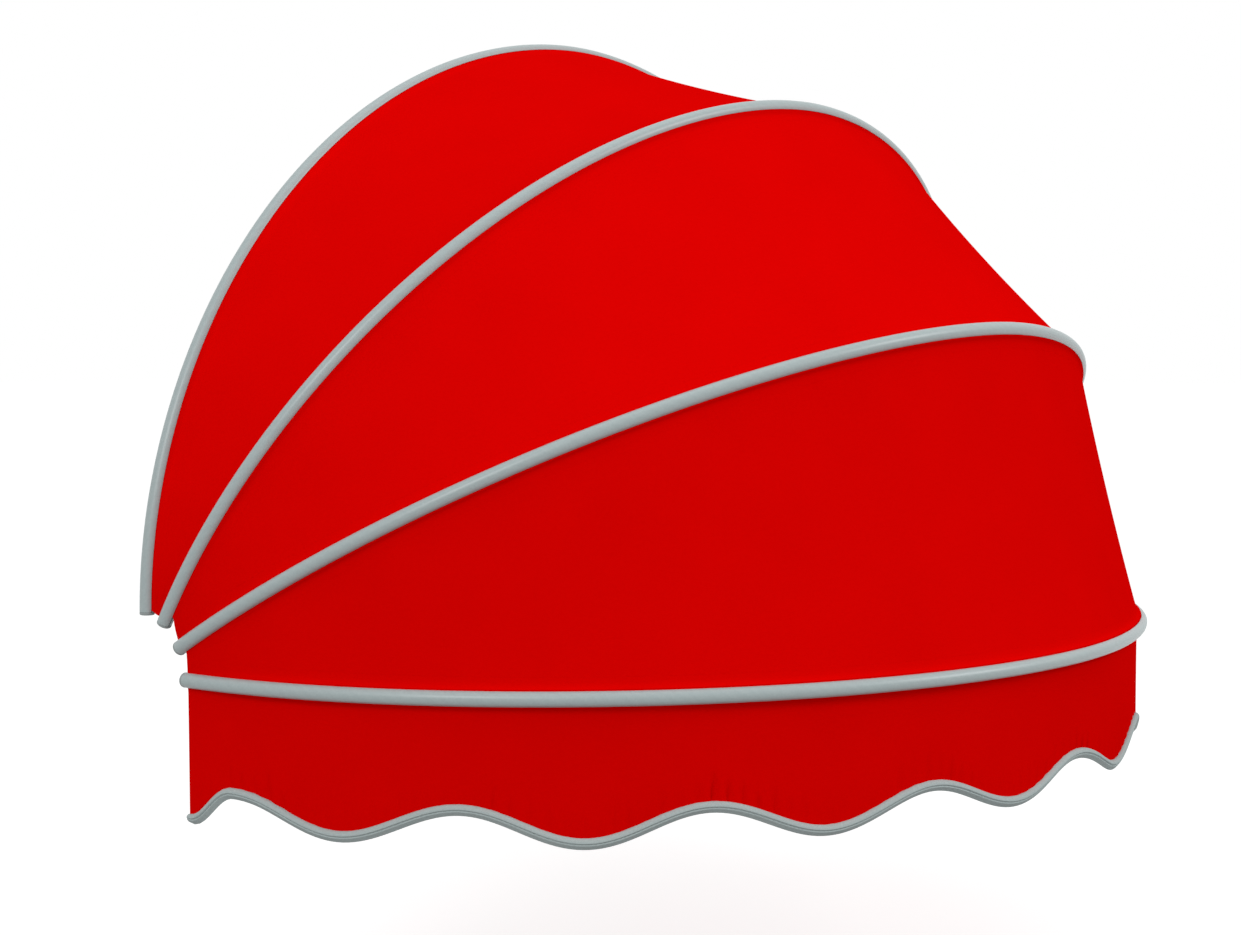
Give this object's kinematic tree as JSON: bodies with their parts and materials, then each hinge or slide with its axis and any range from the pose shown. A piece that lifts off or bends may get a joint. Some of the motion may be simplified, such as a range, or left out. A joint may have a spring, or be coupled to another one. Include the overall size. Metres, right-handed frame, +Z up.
{
  "type": "window awning",
  "caption": "Half-dome canvas awning that folds up against the wall like a fan, with round tube bows, hinge brackets, wall clips and a scalloped bound valance.",
  "frame": {"origin": "back face of the top wall clip, in the awning's middle plane and level with the crown of the wall bow", "axes": "+Y into the wall, so the awning stands out along -Y; +X to the right for someone facing the wall; +Z up"},
  "size_m": [1.5162, 0.7675, 0.9176],
  "materials": {
    "bow_tube": "grey coated, satin",
    "end_plug": "moulded nylon, matt",
    "hinge_steel": "zinc plated",
    "screw_steel": "zinc plated",
    "canvas": "woven red canvas",
    "binding": "woven grey tape"
  },
  "bodies": {
    "wall_frame": {"wall_bow": "bow_tube", "wall_bow_plug_left": "end_plug", "wall_bow_plug_right": "end_plug", "hinge_bracket_left": "hinge_steel", "hinge_bracket_right": "hinge_steel", "wall_bow_screw_low_left": "screw_steel", "wall_bow_screw_low_right": "screw_steel", "wall_bow_screw_high_left": "screw_steel", "wall_bow_screw_high_right": "screw_steel", "wall_clip_left": "hinge_steel", "wall_clip_top": "hinge_steel", "wall_clip_right": "hinge_steel", "wall_clip_screw_left": "screw_steel", "wall_clip_screw_top": "screw_steel", "wall_clip_screw_right": "screw_steel", "canvas_panel_top": "canvas"},
    "upper_frame": {"upper_bow": "bow_tube", "upper_bow_plug_left": "end_plug", "upper_bow_plug_right": "end_plug", "upper_link_left": "hinge_steel", "upper_link_right": "hinge_steel", "upper_pivot_screw_left": "screw_steel", "upper_pivot_screw_right": "screw_steel", "upper_bow_screw_left": "screw_steel", "upper_bow_screw_right": "screw_steel", "canvas_panel_middle": "canvas"},
    "middle_frame": {"middle_bow": "bow_tube", "middle_bow_plug_left": "end_plug", "middle_bow_plug_right": "end_plug", "middle_link_left": "hinge_steel", "middle_link_right": "hinge_steel", "middle_pivot_screw_left": "screw_steel", "middle_pivot_screw_right": "screw_steel", "middle_bow_screw_left": "screw_steel", "middle_bow_screw_right": "screw_steel", "canvas_panel_front": "canvas"},
    "front_frame": {"front_bow": "bow_tube", "front_bow_plug_left": "end_plug", "front_bow_plug_right": "end_plug", "front_link_left": "hinge_steel", "front_link_right": "hinge_steel", "front_pivot_screw_left": "screw_steel", "front_pivot_screw_right": "screw_steel", "front_bow_screw_left": "screw_steel", "front_bow_screw_right": "screw_steel", "valance": "canvas", "valance_binding": "binding"}
  },
  "joints": [
    {"name": "upper_fold", "type": "hinge", "parent": "wall_frame", "child": "upper_frame", "pos_m": [0, -0.0471, -0.68502], "axis": [-1, 0, 0], "range_deg": [0, 28], "deforming": ["canvas_panel_top"]},
    {"name": "middle_fold", "type": "hinge", "parent": "upper_frame", "child": "middle_frame", "pos_m": [0, -0.07638, -0.7143], "axis": [-1, 0, 0], "range_deg": [0, 28], "deforming": ["canvas_panel_middle"]},
    {"name": "front_fold", "type": "hinge", "parent": "middle_frame", "child": "front_frame", "pos_m": [0, -0.0871, -0.7543], "axis": [-1, 0, 0], "range_deg": [0, 28], "deforming": ["canvas_panel_front"]}
  ],
  "couplings": [
    {"joint": "middle_fold", "follows": "upper_fold", "ratio": 1},
    {"joint": "front_fold", "follows": "upper_fold", "ratio": 1}
  ]
}
